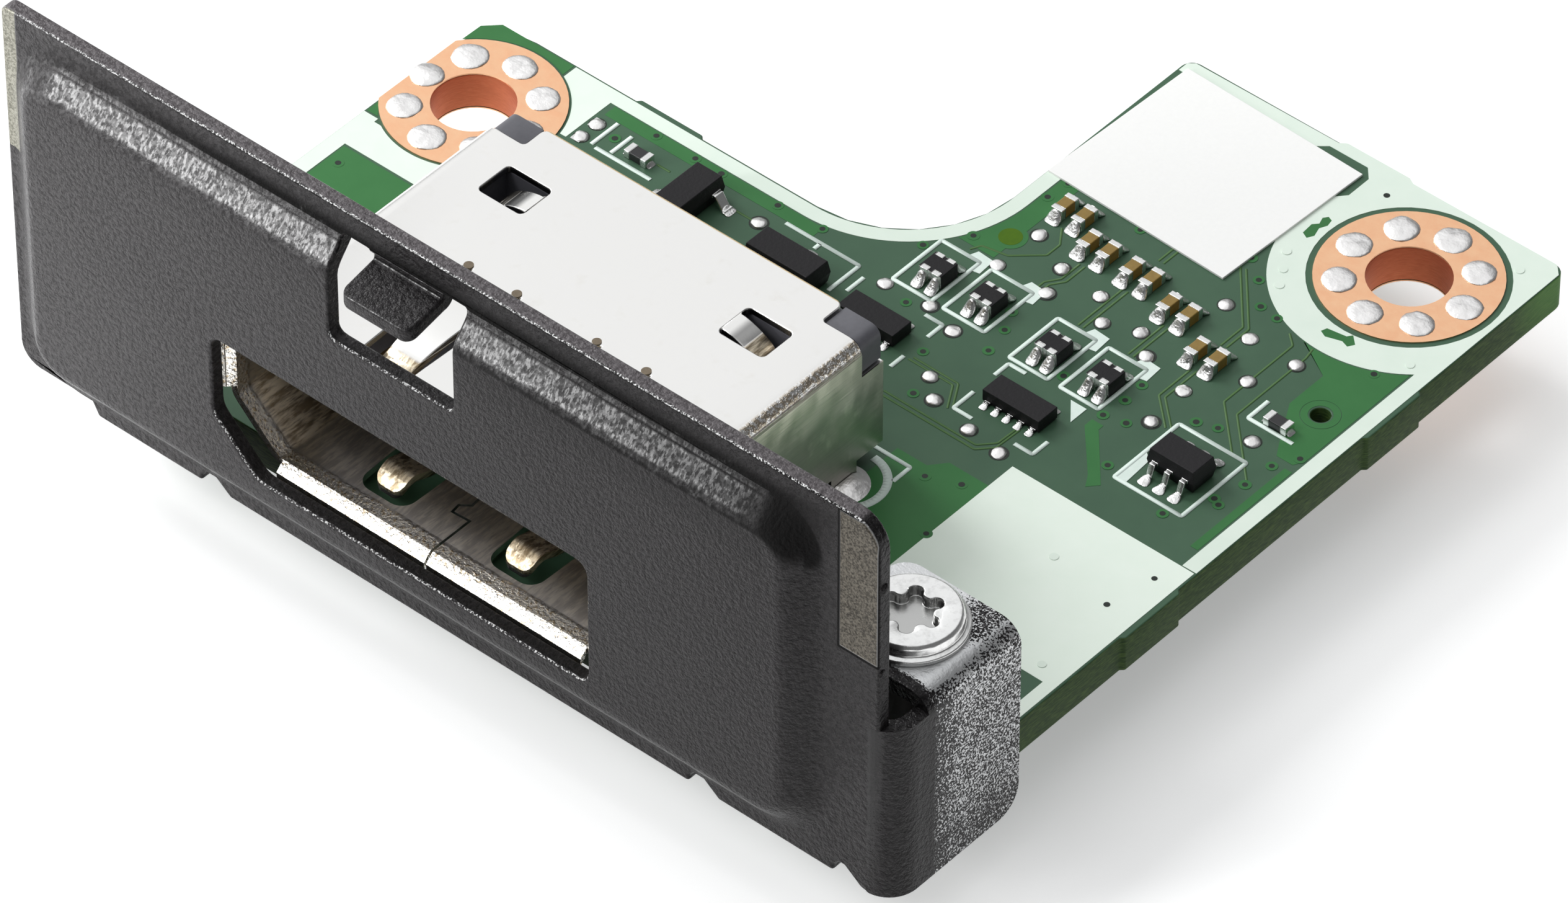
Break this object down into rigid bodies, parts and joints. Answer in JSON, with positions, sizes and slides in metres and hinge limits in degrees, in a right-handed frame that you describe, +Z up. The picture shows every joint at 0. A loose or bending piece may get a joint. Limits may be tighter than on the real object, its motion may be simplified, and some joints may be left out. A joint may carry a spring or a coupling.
{
  "type": "display connector module",
  "caption": "Small circuit board carrying a shielded display receptacle behind a pressed and folded metal bracket, with copper-ringed screw holes.",
  "frame": {"origin": "middle of the receptacle, in the plane of the bracket plate's back face", "axes": "+X to the right seen from the front, +Y into the module along the receptacle, +Z up, away from the board"},
  "size_m": [0.0393, 0.0385, 0.0188],
  "materials": {
    "bracket_paint": "fine-grained matte black paint over steel, bare at two patches",
    "screw_steel": "bright plated steel",
    "standoff_metal": "plain turned metal",
    "board_laminate": "satin green solder mask over glass laminate",
    "copper": "bare orange copper",
    "solder": "bright solder",
    "shell_steel": "bright plated sheet",
    "housing_plastic": "dark grey moulded plastic",
    "contact_metal": "gold-plated contacts",
    "label_white": "plain white label stock",
    "chip_ceramic": "tan ceramic with tinned ends",
    "chip_black": "black moulded body with tinned leads",
    "resistor_black": "black body with tinned ends",
    "host_plastic": "black moulded plastic"
  },
  "bodies": {
    "root": {"bracket": "bracket_paint", "bracket_screw": "screw_steel", "standoff": "standoff_metal", "board": "board_laminate", "rear_screw_ring": "copper", "ear_screw_ring": "copper", "ring_solder_dots": "solder", "test_point_dots": "solder", "connector_shell": "shell_steel", "shell_leg_solder": "solder", "connector_housing": "housing_plastic", "upper_contacts": "contact_metal", "lower_contacts": "contact_metal", "label": "label_white", "capacitor_1": "chip_ceramic", "capacitor_2": "chip_ceramic", "capacitor_3": "chip_ceramic", "capacitor_4": "chip_ceramic", "capacitor_5": "chip_ceramic", "capacitor_6": "chip_ceramic", "capacitor_7": "chip_ceramic", "capacitor_8": "chip_ceramic", "capacitor_9": "chip_ceramic", "capacitor_10": "chip_ceramic", "choke_1": "chip_black", "choke_2": "chip_black", "choke_3": "chip_black", "choke_4": "chip_black", "protection_array_1": "chip_black", "protection_array_2": "chip_black", "six_lead_package": "chip_black", "three_lead_package_1": "chip_black", "three_lead_package_2": "chip_black", "ear_resistor": "resistor_black", "arm_resistor": "resistor_black", "host_connector": "host_plastic", "host_contacts": "contact_metal"}
  },
  "joints": []
}
